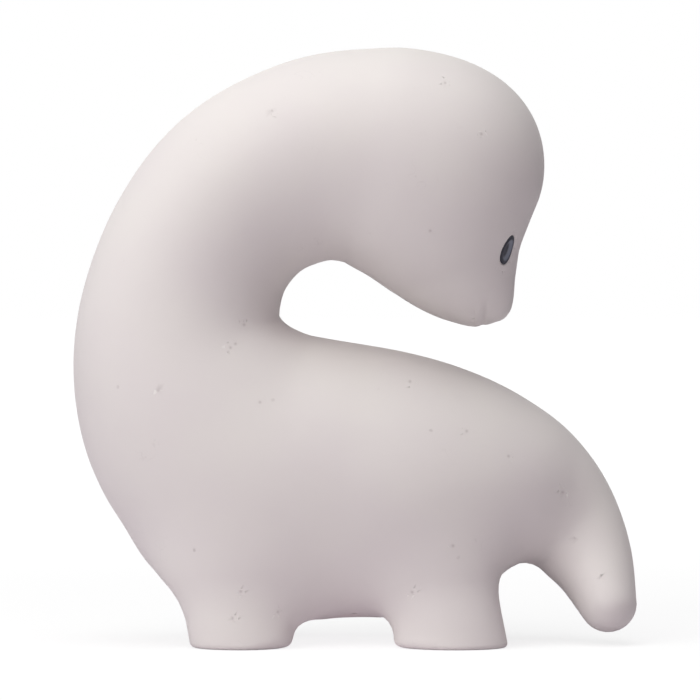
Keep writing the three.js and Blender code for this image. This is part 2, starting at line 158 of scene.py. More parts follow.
# the animal's skin is a distance field, which is netted into a mesh
bodyForm = dict(
    height=110.0,
    trunkWidth=46.0,
    tailSwing=7.2,
    # along the spine: x, z and radius in per cent of the height, width and swing of the two sizes above
    stations=[
        (42, 6.9, 4.8, 27, 100),  # tail tip
        (39.3, 14.2, 7, 31.3, 36.1),  # tail
        (35.3, 20.6, 9, 37.4, 5.6),  # tail root
        (29.4, 25, 11.8, 52.2, 0),  # haunch
        (21.6, 27.3, 15.4, 77.4, 0),  # rump
        (9.1, 26.6, 21.2, 97.4, 0),  # loin
        (-3.6, 27.4, 23.3, 100, 0),  # belly
        (-15.5, 28.9, 24.1, 100, 0),  # chest
        (-24.2, 36.7, 21.3, 93.5, 0),  # shoulder
        (-28.9, 45.7, 18.6, 84.8, 0),  # neck root
        (-29.4, 55.5, 16.7, 78.3, 0),  # neck
        (-26, 66.4, 15.8, 74.8, 0),  # upper neck
        (-18.4, 75.8, 16.2, 75.7, 0),  # nape
        (-7.3, 81, 17, 79.1, 0),  # arch
        (2.7, 81.5, 18.2, 82.6, 0),  # back of the head
        (9.6, 79.6, 19.4, 84.3, 0),  # head
        (12.6, 75, 16.9, 74.8, 0),  # brow
        (14.4, 69.8, 13.5, 58.3, 0),  # cheeks
        (17.3, 63.7, 10, 39.1, 0),  # muzzle
        (22, 57.6, 4.4, 20.9, 0),  # snout
    ],
    balls=240,
    crown=(16.16, 0, 88.46, 18.6, 17.6),  # a ball that rounds out the forehead
    crownBlend=3.0,
    legs=(-20.3, 17.8),  # front and rear
    legFillet=(8.5, 6.5),
    legSpread=(13.9, 12.3),  # at the sole and at the top, as the next two
    legHalfLength=(9.9, 9.9),
    legHalfWidth=(6.9, 6.6),
    legHeight=12.0,
    legLean=2.2,
    wall=3.0,
    hollowRadius=9.0,  # narrower stretches are filled
    soleRound=(1.0, 2.6, 1.7),  # sole edges: outer ends, front heels, rear toes
    soleFade=(11, 20),  # from the middle of the arch, where the inner roundings turn into the outer one
    rimRound=0.2,  # edge of the pour hole
    boreRadius=6.2,
    cell=1.2,  # of the net
    settleRounds=3,
)

# slight swellings and hollows of the hand-shaped model: x, z, radius, rise
touchForm = dict(
    places=[
        (-37.4, 13.8, 5.0, 0.55),  # low chest
        (-42.8, 21.9, 4.5, -0.3),  # chest
        (-48.3, 31.8, 8.0, 0.25),  # shoulder
        (-50.0, 66.0, 9.0, 0.2),  # back of the neck
        (-42.0, 84.5, 11.0, 0.25),
        (-12.3, 58.6, 3.5, -0.45),  # end of the grip gap
        (-2.0, 55.8, 6.0, -0.25),  # back below the throat
        (33.9, 43.6, 6.0, -0.22),  # rump
        (28.4, 13.5, 3.0, -0.6),  # behind the rear legs
        (35.1, 13.2, 3.0, 0.4),  # under the tail
        (-6.7, 4.2, 4.0, 0.15),  # belly beside the legs
        (6.4, 3.8, 3.0, 0.35),
        (-10.2, 1.9, 2.6, -0.65),  # heels of the front legs
        (21.8, 58.4, 2.4, 0.35),  # lower jaw
        (25.4, 59.0, 2.0, -0.35),  # upper lip
        (14.8, 60.6, 5.0, -0.22),  # throat
        (6.8, 65.0, 4.0, 0.3),
        (32.6, 78.4, 4.5, -0.3),  # brow
        (30.0, 69.0, 3.5, -0.15),  # bridge of the nose
    ],
)

# the face is smoothed where the brow runs into the nose
faceForm = dict(
    middle=(30.5, 73.0),  # x and z
    near=5.5,  # full up to here, gone at the next
    far=9.5,
    steps=(2.0, 4.0),  # how far off the field is sampled
    headBalls=70,  # the end of the spine that the samples need
)

mouthForm = dict(
    snout=(24.0, 63.4),
    lean=math.radians(8),
    width=0.42,
    depth=0.1,
    lipAt=1.05,
    lipWidth=0.55,
    lipRise=0.06,
    deepBelow=60.8,
    goneAbove=64.2,
    reach=7.5,
    fade=1.5,
)

unevenForm = dict(
    rise=0.05,
    waves=[(0.31, 0.12, 0.17), (-0.14, 0.29, 0.22), (0.21, -0.2, 0.33), (0.09, 0.37, -0.26)],
)

# small pits that air bubbles left in the left side, as x and z
pitForm = dict(
    places=[
        (-21.5, 55.4), (-20.0, 58.8), (-22.4, 54.7), (-17.0, 44.9), (-35.4, 47.0), (-14.9, 97.7),
        (10.2, 48.5), (20.4, 39.6), (28.0, 35.0), (38.1, 28.2), (40.4, 19.7), (44.8, 12.6),
        (17.9, 18.9), (10.5, 10.4), (-13.8, 6.8), (-20.5, 10.6), (-22.0, 5.8),
        (13.8, 75.9), (23.1, 93.4), (16.6, 102.8),
    ],
    radius=0.26,
    depth=0.05,
)

eyeForm = dict(
    length=5.6,
    width=3.35,
    turn=math.radians(3),  # the top leans towards the nose
    point=0.04,  # the top is narrower than the bottom
    rimAt=0.82,
    rimWidth=0.14,
    rimRise=0.12,
    dish=0.14,
    dishFrom=0.2,
    edgeFrom=0.9,
    edgeDrop=0.08,
    depth=0.4,
    socketGap=0.04,
    socketSoft=0.08,
    rings=14,
    sides=56,
)

plugForm = dict(radius=6.08, edge=0.12, edgeRings=4, lipHeight=1.4, lipBevel=0.6, rings=8, sides=72)

# where the net is halved
fineForm = dict(
    soleTop=3.0,
    soleDepth=2.4,  # below the skin, as the other depths
    edgeTop=1.4,
    edgeDepth=1.4,
    tailFrom=32.0,  # the end of the tail is low too, but has no sole
    pitReach=5 * pitForm["radius"],
    pitDepth=1.0,
    holeInside=0.8,
    holeOutside=1.6,
    belowLip=1.0,
    mouthSide=2.2,
    aboveMouth=1.0,
    eyeReach=1.5,  # where an eye's outline is 1
)


def spineRows():  # the stations in millimetres: x, y, z, radius seen from the side, half width across
    x, z, radius, width, swing = np.array(bodyForm["stations"]).T / 100
    tall, wide = bodyForm["height"], bodyForm["trunkWidth"]
    y = -swing * bodyForm["tailSwing"]
    return np.stack([x * tall, y, z * tall, radius * tall, width * wide / 2], 1)


def throughStations(rows, count):  # smooth run through the stations
    ends = np.vstack([2 * rows[0] - rows[1], rows, 2 * rows[-1] - rows[-2]])
    place = np.linspace(0, len(rows) - 1, count + 1)
    first = np.minimum(place.astype(int), len(rows) - 2)
    share = (place - first)[:, None]
    a, b, c, d = (ends[first + i] for i in range(4))
    leave, arrive = (c - a) / 2, (d - b) / 2
    cubic = 2 * b - 2 * c + leave + arrive
    square = 3 * c - 3 * b - 2 * leave - arrive
    return ((cubic * share + square) * share + leave) * share + b


spine = throughStations(spineRows(), bodyForm["balls"])
boxLow, boxHigh = nodeBox("body_shell")
spineMiddle = ((spine[:, 0] + spine[:, 3]).max() + (spine[:, 0] - spine[:, 3]).min()) / 2
shiftX = (boxLow[0] + boxHigh[0]) / 2 - spineMiddle  # the frame's origin is under the middle
plugLow, plugHigh = nodeBox("belly_plug")
plugX = (plugLow[0] + plugHigh[0]) / 2
lipUnder = plugHigh[2] - plugForm["lipHeight"]


def fill(a, b, fillet):  # how far a fillet fills the corner between two fields
    share = np.clip(fillet - np.abs(a - b), 0, None) / fillet
    return share * share * fillet / 4


def join(a, b, fillet):
    return np.minimum(a, b) - fill(a, b, fillet)


def keepBoth(a, b, fillet):
    return np.maximum(a, b) + fill(a, b, fillet)


def ballGap(x, y, z, ball):
    ballX, ballY, ballZ, radius, halfWidth = ball
    across = (y - ballY) * (radius / halfWidth)
    return np.sqrt((x - ballX) ** 2 + across**2 + (z - ballZ) ** 2) - radius


def trunkAt(x, y, z, balls):  # gaps to the whole trunk and to the part of it that is hollow
    narrow = np.full(len(x), np.inf)
    wide = np.full(len(x), np.inf)
    for ball in balls:
        target = wide if ball[3] > bodyForm["hollowRadius"] else narrow
        np.minimum(target, ballGap(x, y, z, ball), out=target)
    crown = ballGap(x, y, z, bodyForm["crown"])
    blend = bodyForm["crownBlend"]
    return join(np.minimum(narrow, wide), crown, blend), join(wide, crown, blend)


def legAt(x, y, z, legX, side):
    rise = np.clip(z / bodyForm["legHeight"], 0, 1)
    spread, halfLength, halfWidth = (
        bodyForm[key][0] + rise * (bodyForm[key][1] - bodyForm[key][0])
        for key in ("legSpread", "legHalfLength", "legHalfWidth")
    )
    along = (x - legX + bodyForm["legLean"] * rise) / halfLength
    across = (y - side * spread) / halfWidth
    above = np.clip(z - bodyForm["legHeight"], 0, None) / halfLength
    return (np.sqrt(along**2 + across**2 + above**2) - 1) * np.minimum(halfLength, halfWidth)


def touchesAt(points):
    total = np.zeros(len(points))
    for x, z, radius, rise in touchForm["places"]:
        total += rise * np.exp(-((points[:, 0] - x) ** 2 + (points[:, 2] - z) ** 2) / radius**2)
    return total


def skinAt(points, balls=spine):  # gap to the plain outer skin, and to the cavity's wall
    x, y, z = points[:, 0] - shiftX, points[:, 1], points[:, 2]
    trunk, hollow = trunkAt(x, y, z, balls)
    skin, filled = trunk, 0
    for legX, fillet in zip(bodyForm["legs"], bodyForm["legFillet"]):
        for side in (-1, 1):
            leg = legAt(x, y, z, legX, side)
            skin = np.minimum(skin, leg)
            filled = filled + fill(trunk, leg, fillet)
    return skin - filled - touchesAt(points), hollow + bodyForm["wall"]


def smoothSkinAt(points):  # the same, averaged with the field around it in the face
    skin, cavity = skinAt(points)
    off = np.hypot(points[:, 0] - faceForm["middle"][0], points[:, 2] - faceForm["middle"][1])
    share = 1 - smoothStep(faceForm["near"], faceForm["far"], off)
    face = share > 0
    head = spine[-faceForm["headBalls"]:]
    samples = [skin[face]]
    for step in faceForm["steps"]:
        for way in (*np.eye(3), *-np.eye(3)):
            samples.append(skinAt(points[face] + step * way, head)[0])
    skin[face] += share[face] * (np.mean(samples, 0) - skin[face])
    return skin, cavity


def ovalAxes(node):  # middle, and the long, cross and outward directions, of an eye in the frame
    points = nodePoints(node)
    middle = (points.min(0) + points.max(0)) / 2
    along, _, outward = np.linalg.svd(points - points.mean(0), full_matrices=False)[2]
    along = along * np.sign(along[2])
    outward = outward * np.sign(outward[1] * middle[1])
    turn = eyeForm["turn"] * np.sign(outward[1])
    along = math.cos(turn) * along + math.sin(turn) * np.cross(outward, along)
    return middle, along, np.cross(outward, along), outward


eyes = {node: ovalAxes(node) for node in ("eye_left", "eye_right")}


def eyeReach(points, eye):  # 0 at the middle of an eye, 1 at its outline
    middle, along, across, _ = eye
    u = (points - middle) @ along / (eyeForm["length"] / 2)
    v = (points - middle) @ across / (eyeForm["width"] / 2)
    return np.hypot(u, v / (1 - eyeForm["point"] * np.clip(u, -1, 1)))


def mouthOff(points):  # sideways from the mouth's line, and from the middle of the snout
    x, y, z = points[:, 0] - shiftX, points[:, 1], points[:, 2]
    snoutX, snoutZ = mouthForm["snout"]
    lean = mouthForm["lean"]
    off = np.abs((x - snoutX) * math.cos(lean) - (z - snoutZ) * math.sin(lean))
    return off, np.sqrt((x - snoutX) ** 2 + y**2 + (z - snoutZ) ** 2)


def mouthShares(points):  # shares of the furrow and of the lips beside it
    off, away = mouthOff(points)
    near = 1 - smoothStep(mouthForm["reach"], mouthForm["reach"] + mouthForm["fade"], away)
    near = near * (1 - smoothStep(mouthForm["deepBelow"], mouthForm["goneAbove"], points[:, 2]))
    furrow = np.exp(-((off / mouthForm["width"]) ** 2))
    lips = np.exp(-(((off - mouthForm["lipAt"]) / mouthForm["lipWidth"]) ** 2))
    return near * furrow, near * lips


def mouthAt(points):
    furrow, lips = mouthShares(points)
    return mouthForm["depth"] * furrow - mouthForm["lipRise"] * lips


def socketsAt(points):
    total = np.zeros(len(points))
    edge = 1 + 2 * eyeForm["socketGap"] / eyeForm["width"]
    soft = eyeForm["socketSoft"]
    for eye in eyes.values():
        close = np.linalg.norm(points - eye[0], axis=1) < eyeForm["length"]
        socket = eyeForm["depth"] * (1 - smoothStep(edge - soft, edge + soft, eyeReach(points, eye)))
        total += np.where(close, socket, 0)
    return total


def pitShares(points):
    total = np.zeros(len(points))
    left = points[:, 1] < 0
    for x, z in pitForm["places"]:
        away = ((points[:, 0] - x) ** 2 + (points[:, 2] - z) ** 2) / pitForm["radius"] ** 2
        total += np.exp(-away)
    return np.where(left, total, 0)


def wavesAt(points):  # slight unevenness of a hand-poured moulding
    waves = sum(np.sin(points @ np.array(wave) + i) for i, wave in enumerate(unevenForm["waves"]))
    return unevenForm["rise"] * waves / len(unevenForm["waves"])


def shellAt(points):  # the hollow moulding with its soles, pour hole and marks
    skin, cavity = smoothSkinAt(points)
    marks = mouthAt(points) + socketsAt(points) + pitForm["depth"] * pitShares(points) + wavesAt(points)
    offArch = points[:, 0] - shiftX - sum(bodyForm["legs"]) / 2
    outerRound, heelRound, toeRound = bodyForm["soleRound"]
    innerRound = np.where(offArch < 0, heelRound, toeRound)
    outer = smoothStep(*bodyForm["soleFade"], np.abs(offArch))
    soleRound = innerRound + (outerRound - innerRound) * outer
    skin = keepBoth(skin + marks, -points[:, 2], soleRound)
    bore = np.hypot(points[:, 0] - plugX, points[:, 1]) - bodyForm["boreRadius"]
    bore = np.maximum(bore, points[:, 2] - lipUnder)
    return keepBoth(np.maximum(skin, -cavity), -bore, bodyForm["rimRound"])


def settle(points):  # moves points onto the shell
    step, leastSlope, farthest = 0.01, 0.1, bodyForm["cell"] / 2
    for _ in range(bodyForm["settleRounds"]):
        value = shellAt(points)
        rises = [shellAt(points + axis) - shellAt(points - axis) for axis in np.eye(3) * step]
        slope = np.stack(rises, 1) / (2 * step)
        move = slope * (value / np.maximum((slope**2).sum(1), leastSlope))[:, None]
        length = np.linalg.norm(move, axis=1, keepdims=True)
        points = points - move * np.minimum(1, farthest / np.maximum(length, 1e-9))
    return points


# one vertex in each crossed cell, one quad round each crossed edge
def netOver(field, low, high, cell):
    counts = [2 * math.ceil((b - a) / cell / 2) + 1 for a, b in zip(low, high)]
    corner = (np.array(low) + high) / 2 - cell * (np.array(counts) - 1) / 2
    axes = [start + cell * np.arange(count) for start, count in zip(corner, counts)]
    grid = np.stack(np.meshgrid(*axes, indexing="ij"), -1)
    value = field(grid.reshape(-1, 3)).reshape(counts)
    inside = value < 0
    total = np.zeros([count - 1 for count in counts] + [3])
    crossings = np.zeros([count - 1 for count in counts])
    quadEdges = []
    for axis in range(3):
        others = [(axis + 1) % 3, (axis + 2) % 3]
        first = np.take(value, range(counts[axis] - 1), axis)
        second = np.take(value, range(1, counts[axis]), axis)
        crossed = (first < 0) != (second < 0)
        share = np.where(crossed, first / np.where(crossed, first - second, 1), 0)
        for p in (0, 1):
            for q in (0, 1):
                cut = [slice(None)] * 3
                for other, offset in zip(others, (p, q)):
                    cut[other] = slice(offset, counts[other] - 1 + offset)
                cut = tuple(cut)
                crossings += crossed[cut]
                total[..., axis] += share[cut]
                total[..., others[0]] += crossed[cut] * p
                total[..., others[1]] += crossed[cut] * q
        quadEdges.append((others, np.argwhere(crossed)))
    used = crossings > 0
    numbers = np.full(used.shape, -1)
    numbers[used] = np.arange(used.sum())
    places = total[used] / crossings[used][:, None] + np.argwhere(used)
    quads = []
    for others, edges in quadEdges:
        ring = []
        for p, q in ((0, 0), (1, 0), (1, 1), (0, 1)):
            cellAt = edges.copy()
            cellAt[:, others[0]] -= p
            cellAt[:, others[1]] -= q
            ring.append(numbers[tuple(cellAt.T)])
        ring = np.stack(ring, 1)
        outward = inside[tuple(edges.T)]
        quads.append(np.where(outward[:, None], ring, ring[:, ::-1]))
    return corner + cell * places, np.vstack(quads)


def refine(points, faces, near, rounds):  # halves the quads of one region and settles the new points
    mesh = bpy.data.meshes.new("refining")
    mesh.from_pydata(points.tolist(), [], [list(map(int, face)) for face in faces])
    work = bmesh.new()
    work.from_mesh(mesh)
    bpy.data.meshes.remove(mesh)
    for _ in range(rounds):
        work.verts.index_update()
        before = len(work.verts)
        picked = near(np.array([vert.co for vert in work.verts]))
        edges = [
            edge for edge in work.edges
            if picked[edge.verts[0].index] and picked[edge.verts[1].index]
        ]
        bmesh.ops.subdivide_edges(work, edges=edges, cuts=1, use_grid_fill=True)
        work.verts.ensure_lookup_table()
        fresh = work.verts[before:]
        moved = settle(np.array([vert.co for vert in fresh]))
        for vert, place in zip(fresh, moved):
            vert.co = place
    work.verts.index_update()
    points = np.array([vert.co for vert in work.verts])
    faces = [[vert.index for vert in face.verts] for face in work.faces]
    work.free()
    return points, faces


def nearMouth(points):
    off, away = mouthOff(points)
    top = mouthForm["goneAbove"] + fineForm["aboveMouth"]
    return (off < fineForm["mouthSide"]) & (away < mouthForm["reach"]) & (points[:, 2] < top)


def nearEyes(points):
    near = np.zeros(len(points), bool)
    for eye in eyes.values():
        close = np.linalg.norm(points - eye[0], axis=1) < eyeForm["length"]
        near |= close & (eyeReach(points, eye) < fineForm["eyeReach"])
    return near


def nearHole(points):
    off = np.hypot(points[:, 0] - plugX, points[:, 1]) - bodyForm["boreRadius"]
    beside = (off > -fineForm["holeInside"]) & (off < fineForm["holeOutside"])
    return beside & (points[:, 2] < lipUnder - fineForm["belowLip"])


def nearSoles(points):
    low = (points[:, 2] < fineForm["soleTop"]) & (points[:, 0] - shiftX < fineForm["tailFrom"])
    return low & (skinAt(points)[0] > -fineForm["soleDepth"])


def nearSoleEdges(points):
    low = points[:, 2] < fineForm["edgeTop"]
    return nearSoles(points) & low & (skinAt(points)[0] > -fineForm["edgeDepth"])


def nearPits(points):
    near = np.zeros(len(points), bool)
    for x, z in pitForm["places"]:
        near |= np.hypot(points[:, 0] - x, points[:, 2] - z) < fineForm["pitReach"]
    return near & (points[:, 1] < 0) & (skinAt(points)[0] > -fineForm["pitDepth"])


def bodyMesh():
    room = 2 * bodyForm["cell"]
    points, faces = netOver(shellAt, boxLow - room, boxHigh + room, bodyForm["cell"])
    points = settle(points)
    for near in (nearSoles, nearSoleEdges):
        points, faces = refine(points, faces, near, 1)
    for near in (nearHole, nearPits, nearMouth, nearEyes):
        points, faces = refine(points, faces, near, 3)
    return points, faces


def dropOnSkin(points, direction):  # along a direction, onto the plain skin
    rounds, share = 12, 0.8
    for _ in range(rounds):
        points = points - direction * (share * smoothSkinAt(points)[0])[:, None]
    return points


# finishes of the rubber pieces
rubberLook = dict(
    pale=colour(230, 227, 221),
    lilac=colour(224, 218, 217),
    speck=colour(150, 138, 136),
    roughness=0.62,
    roughnessSpread=0.12,
    cloudScale=55.0,
    grainScale=2600.0,
    grain=0.05,
    cellScale=210.0,
    speckFrom=0.9,  # cells drawn above this have a speck
    speckSize=(0.03, 0.1),
    speckStain=0.35,
    speckDepth=0.15,
    hairScale=260.0,
    hairWidth=0.012,
    scratchScale=130.0,
    scratchFrom=(0.63, 0.7),
    scratchStain=0.1,
    scratchDepth=0.2,
    # painted shade: how far the pits and the mouth's furrow are darkened towards the speck colour
    pitPaintedShade=0.38,
    mouthPaintedShade=0.12,
)


def rubberFinish(name, look):  # matte poured rubber: faint clouds, grain, specks and hairline scratches, and painted shade in the pits and the mouth's furrow
    material, finish = newMaterial(name)
    place = finish.node("ShaderNodeTexCoord", output="Object")
    clouds = finish.noise(place, look["cloudScale"], 3.0)
    grain = finish.noise(place, look["grainScale"])
    cellSize = {"Vector": place, "Scale": look["cellScale"]}
    cells = finish.node("ShaderNodeTexVoronoi", None, cellSize)
    drawn = finish.node("ShaderNodeSeparateColor", None, {
        "Color": finish.node("ShaderNodeTexVoronoi", None, cellSize, "Color"),
    })
    ragged = cells + (finish.noise(place, 1500.0) - 0.5) * 0.12
    speck = finish.fade(ragged, *look["speckSize"], 1.0, 0.0) * (drawn > look["speckFrom"])
    speck = speck * finish.fade(clouds, 0.3, 0.7)
    offHair = (finish.noise(place, look["hairScale"]) - 0.5).size()
    hair = finish.fade(offHair, 0.0, look["hairWidth"], 1.0, 0.0)
    scratch = hair * finish.fade(finish.noise(place, look["scratchScale"]), *look["scratchFrom"])
    tint = finish.mixColour(clouds, look["pale"], look["lilac"])
    # painted shade of the pits and the mouth's furrow, read from a mesh attribute and added to the real
    # specks and scratches
    paintedShade = finish.node("ShaderNodeAttribute", dict(attribute_name="paintedShade"), output="Fac")
    stainAndShade = (speck * look["speckStain"] + scratch * look["scratchStain"] + paintedShade).atMost(1)
    tint = finish.mixColour(stainAndShade, tint, look["speck"])
    height = grain * look["grain"] - speck * look["speckDepth"] - scratch * look["scratchDepth"]
    bump = finish.node("ShaderNodeBump", None, {"Strength": 0.25, "Distance": 0.0002, "Height": height})
    least = look["roughness"] - look["roughnessSpread"] / 2
    shader = finish.node("ShaderNodeBsdfPrincipled", None, {
        "Base Color": tint,
        "Roughness": clouds * look["roughnessSpread"] + least,
        "Specular IOR Level": 0.35,
        "Normal": bump,
    })
    finish.node("ShaderNodeOutputMaterial", None, {"Surface": shader})
    return material


bodyPoints, bodyFaces = bodyMesh()
bodyRubber = rubberFinish("bodyRubber", rubberLook)
rubberBody = addPiece(
    "rubberBody", bodyPoints, bodyFaces, bodyRubber, "animal", "body_shell", "body_rubber"
)
pitAndMouthShade = rubberLook["pitPaintedShade"] * pitShares(bodyPoints)  # painted shade in the pits and in the mouth's furrow
pitAndMouthShade += rubberLook["mouthPaintedShade"] * mouthShares(bodyPoints)[0]
# the painted shade of the pits and the mouth's furrow is stored on the body's points
paintedShade = rubberBody.data.attributes.new("paintedShade", "FLOAT", "POINT")
paintedShade.data.foreach_set("value", pitAndMouthShade)
print("body", len(bodyPoints), "points", len(bodyFaces), "faces")


def turnedFaces(rings, sides):  # faces of rings of points that start and end in a single point
    faces = []
    last = 1 + rings * sides
    for i in range(sides):
        j = (i + 1) % sides
        faces.append((0, 1 + j, 1 + i))
        for ring in range(rings - 1):
            a, b = 1 + ring * sides, 1 + (ring + 1) * sides
            faces.append((a + i, a + j, b + j, b + i))
        end = 1 + (rings - 1) * sides
        faces.append((end + i, end + j, last))
    return faces


def plugMesh():  # face on the belly's curve with a rounded edge, stem through the wall, snap lip inside
    radius, edge, sides = plugForm["radius"], plugForm["edge"], plugForm["sides"]
    lipRadius = (plugHigh[0] - plugLow[0]) / 2
    lipTop, bevel = plugHigh[2], plugForm["lipBevel"]
    turn = 2 * np.pi * np.arange(sides) / sides
    below = np.array([plugX, 0, plugLow[2]])

    def ring(size):
        return below + np.stack([size * np.cos(turn), size * np.sin(turn), 0 * turn], 1)

    up = np.array([0, 0, 1.0])
    faceRings = []
    for i in range(1, plugForm["rings"] + 1):
        size = (radius - edge) * i / plugForm["rings"]
        faceRings.append(dropOnSkin(ring(size), -up))
    for i in range(1, plugForm["edgeRings"] + 1):
        angle = math.pi / 2 * i / plugForm["edgeRings"]
        flat = dropOnSkin(ring(radius - edge + edge * math.sin(angle)), -up)
        faceRings.append(flat + edge * (1 - math.cos(angle)) * up)
    stem = [(radius, lipUnder), (lipRadius, lipUnder)]
    stem += [(lipRadius, lipTop - bevel), (lipRadius - bevel, lipTop)]
    stemRings = []
    for size, height in stem:
        level = ring(size)
        level[:, 2] = height
        stemRings.append(level)
    centre = dropOnSkin(below[None], -up)
    top = np.array([[plugX, 0, lipTop]])
    rings = faceRings + stemRings
    return np.vstack([centre] + rings + [top]), turnedFaces(len(rings), sides)


plugLook = dict(rubberLook, pale=colour(226, 219, 214), lilac=colour(219, 211, 209))
plugRubber = rubberFinish("plugRubber", plugLook)
addPiece("bellyStopper", *plugMesh(), plugRubber, "animal", "belly_plug", "plug_rubber")
print("plug done")


def eyeMesh(eye):  # an oval dab with a soft rim and a shallow dish, which follows the cheek
    middle, along, across, outward = eye
    rings, sides = eyeForm["rings"], eyeForm["sides"]
    turn = 2 * np.pi * np.arange(sides) / sides
    points = [middle[None]]
    shares = [0.0]
    for ring in range(1, rings + 1):
        share = ring / rings
        u = share * np.cos(turn)
        v = share * np.sin(turn) * (1 - eyeForm["point"] * u)
        flat = np.outer(u * eyeForm["length"] / 2, along) + np.outer(v * eyeForm["width"] / 2, across)
        points.append(middle + flat)
        shares += [share] * sides
    shares = np.array(shares)
    face = dropOnSkin(np.vstack(points), outward)
    rim = eyeForm["rimRise"] * np.exp(-(((shares - eyeForm["rimAt"]) / eyeForm["rimWidth"]) ** 2))
    rise = rim - eyeForm["dish"] * (1 - smoothStep(eyeForm["dishFrom"], eyeForm["rimAt"], shares))
    rise = rise - eyeForm["edgeDrop"] * smoothStep(eyeForm["edgeFrom"], 1.0, shares)
    back = face[-sides:] - eyeForm["depth"] * outward
    points = np.vstack([face + rise[:, None] * outward, back, face[:1] - eyeForm["depth"] * outward])
    faces = [face[::-1] for face in turnedFaces(rings + 1, sides)]
    return (points - middle) @ np.stack([along, across, outward], 1), faces


def eyePlace(eye):  # an eye's own axes: x along it, y across it, z outward
    middle, along, across, outward = eye
    turned = Matrix(np.stack([along, across, outward], 1).tolist()).to_4x4()
    return Matrix.Translation(Vector((middle * mm).tolist())) @ turned


eyeLook = dict(
    dark=colour(40, 42, 50),
    # pale is the colour of the painted highlight
    pale=colour(136, 143, 155),
    highlightMiddle=(0.02, 0.36, 0),
    highlightFade=(0.34, 0.66),  # painted highlight, from dark to pale, and back to dark at the rim
    rim=(0.62, 0.84),
    paintedHighlight=0.7,
    cloudScale=900.0,
    clouds=0.15,
    grainScale=3000.0,
    roughness=0.45,
)


def enamelFinish(name, look):  # slate enamel with a painted highlight: paler in an off-centre ring between the rim and a dark middle
    material, finish = newMaterial(name)
    place = finish.node("ShaderNodeTexCoord", output="Object")
    halves = (2 / eyeForm["length"] / mm, 2 / eyeForm["width"] / mm, 0)
    oval = finish.node("ShaderNodeVectorMath", dict(operation="MULTIPLY"), {0: place, 1: halves})
    reach = finish.node("ShaderNodeVectorMath", dict(operation="LENGTH"), {0: oval}, "Value")
    clouds = finish.noise(place, look["cloudScale"])
    toHighlightMiddle = {0: oval, 1: look["highlightMiddle"]}
    offMiddle = finish.node("ShaderNodeVectorMath", dict(operation="DISTANCE"), toHighlightMiddle, "Value")
    # painted highlight on one side of the dish, where its wall would catch the light; the rest keeps
    # the dark enamel
    paintedHighlight = finish.fade(offMiddle, *look["highlightFade"]) * finish.fade(reach, *look["rim"], 1.0, 0.0)
    share = paintedHighlight * look["paintedHighlight"] + clouds * look["clouds"]
    bump = finish.node("ShaderNodeBump", None, {
        "Strength": 0.2,
        "Distance": 0.00005,
        "Height": finish.noise(place, look["grainScale"]),
    })
    shader = finish.node("ShaderNodeBsdfPrincipled", None, {
        "Base Color": finish.mixColour(share, look["dark"], look["pale"]),
        "Roughness": clouds * 0.1 + look["roughness"],
        "Specular IOR Level": 0.3,
        "Normal": bump,
    })
    finish.node("ShaderNodeOutputMaterial", None, {"Surface": shader})
    return material


eyeEnamel = enamelFinish("eyeEnamel", eyeLook)
for node, eye in eyes.items():
    addPiece("painted_" + node, *eyeMesh(eye), eyeEnamel, "animal", node, "eye_enamel", eyePlace(eye))
print("eyes done")


# rattle capsule: two halves turned about X, which meet at a spigot
capsuleForm = dict(
    wall=1.7,
    dome=2.2,
    spigot=3.0,
    gap=0.3,
    edge=0.25,
    gate=0.9,  # mark of the mould's gate at each end
    gateDepth=0.2,
    gateSteps=[(0.6, 1.0), (1.0, 0.3), (1.3, 0.0)],  # shares of the two
    gateClear=1.5,
    sides=72,
    arc=10,
)
cupLow, cupHigh = nodeBox("rattle_cup")
capLow, _ = nodeBox("rattle_cap")


def roundedCorner(before, corner, after, edge):  # an arc's points in place of a corner of a profile
    before, corner, after = (np.array(point, float) for point in (before, corner, after))
    start = corner + edge * (before - corner) / np.linalg.norm(before - corner)
    end = corner + edge * (after - corner) / np.linalg.norm(after - corner)
    return [(1 - t) ** 2 * start + 2 * t * (1 - t) * corner + t**2 * end for t in np.linspace(0, 1, 5)]


def domedEnd(radius, reach):  # from beside the axis out to the side wall
    turn = np.linspace(0, np.pi / 2, capsuleForm["arc"] + 1)[1:]
    dome = capsuleForm["dome"]
    return [np.array((radius * math.sin(t), reach - dome + dome * math.cos(t))) for t in turn]


def halfProfile(rim, outside, reach):  # radius and way from the joint, from tip to tip
    inside = outside - capsuleForm["wall"]
    gate, depth = capsuleForm["gate"], capsuleForm["gateDepth"]
    outer = [point for point in domedEnd(outside, reach) if point[0] > capsuleForm["gateClear"] * gate]
    inner = domedEnd(inside, reach - capsuleForm["wall"])
    tip = [np.array((out * gate, reach - sunk * depth)) for out, sunk in capsuleForm["gateSteps"]]
    corners = [outer[-1], *rim, inner[-1]]
    edges = []
    for before, corner, after in zip(corners, corners[1:], corners[2:]):
        edges += roundedCorner(before, corner, after, capsuleForm["edge"])
    ends = np.array((0, reach - depth)), np.array((0, reach - capsuleForm["wall"]))
    return ends, tip + outer + edges + inner[::-1]


